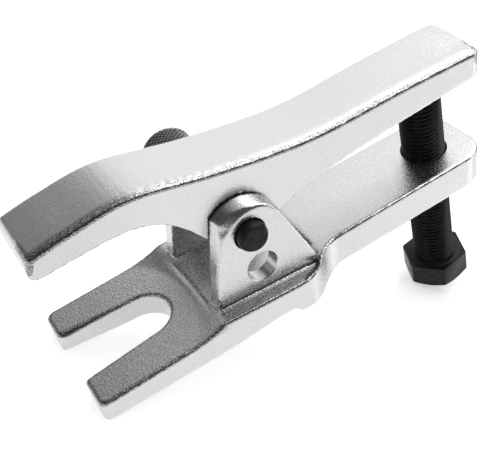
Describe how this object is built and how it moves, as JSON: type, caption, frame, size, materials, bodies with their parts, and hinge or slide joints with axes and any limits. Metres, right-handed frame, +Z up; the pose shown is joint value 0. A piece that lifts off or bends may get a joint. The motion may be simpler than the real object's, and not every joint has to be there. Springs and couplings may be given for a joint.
{
  "type": "ball joint separator",
  "caption": "Scissor ball joint separator: forked lower body, curved press lever on a pull-out cross pin with two positions, and a hexagon-headed forcing bolt.",
  "frame": {"origin": "middle of the object's footprint, on the level surface that the fork tips and the bolt's head stand on", "axes": "+X from the fork to the threaded tail, +Y along the cross pin towards its knob, +Z up"},
  "size_m": [0.1632, 0.0576, 0.0911],
  "materials": {
    "satin_chrome": "satin chrome plate over a blasted forging",
    "black_oxide": "black oxide, lightly oiled",
    "knurled_steel": "blackened steel with a diamond knurl",
    "bright_steel": "polished hardened steel"
  },
  "bodies": {
    "body": {"fork_body": "satin_chrome"},
    "lever": {"press_lever": "satin_chrome"},
    "thrust": {"thrust_ball": "bright_steel"},
    "bolt": {"forcing_bolt": "black_oxide"},
    "pin": {"pivot_pin": "black_oxide", "pin_knob": "knurled_steel", "detent_spring": "bright_steel"},
    "detent": {"detent_ball": "bright_steel"}
  },
  "joints": [
    {"name": "bolt_travel", "type": "slide", "parent": "body", "child": "thrust", "axis": [-0.3631, 0, 0.9318], "range_m": [-0.018, 0.033]},
    {"name": "bolt_turn", "type": "hinge", "parent": "thrust", "child": "bolt", "pos_m": [0.05177, -0.00655, 0.05386], "axis": [-0.3631, 0, 0.9318], "range_deg": [-4321, 7921]},
    {"name": "lever_tilt", "type": "hinge", "parent": "body", "child": "lever", "pos_m": [-0.0227, -0.00655, 0.04666], "axis": [0, -1, 0], "range_deg": [-14.3, 26.1]},
    {"name": "pin_pull", "type": "slide", "parent": "body", "child": "pin", "axis": [0, 1, 0], "range_m": [0, 0.04]},
    {"name": "detent_press", "type": "slide", "parent": "pin", "child": "detent", "axis": [-0.2876, 0, 0.9577], "range_m": [0, 0.0006], "stiffness_N_per_m": 60, "springref_m": -0.001, "deforming": ["detent_spring"]}
  ],
  "couplings": [
    {"joint": "bolt_turn", "follows": "bolt_travel", "rad_per_m": 4188.8},
    {"joint": "lever_tilt", "follows": "bolt_travel", "rad_per_m": 13.774}
  ]
}
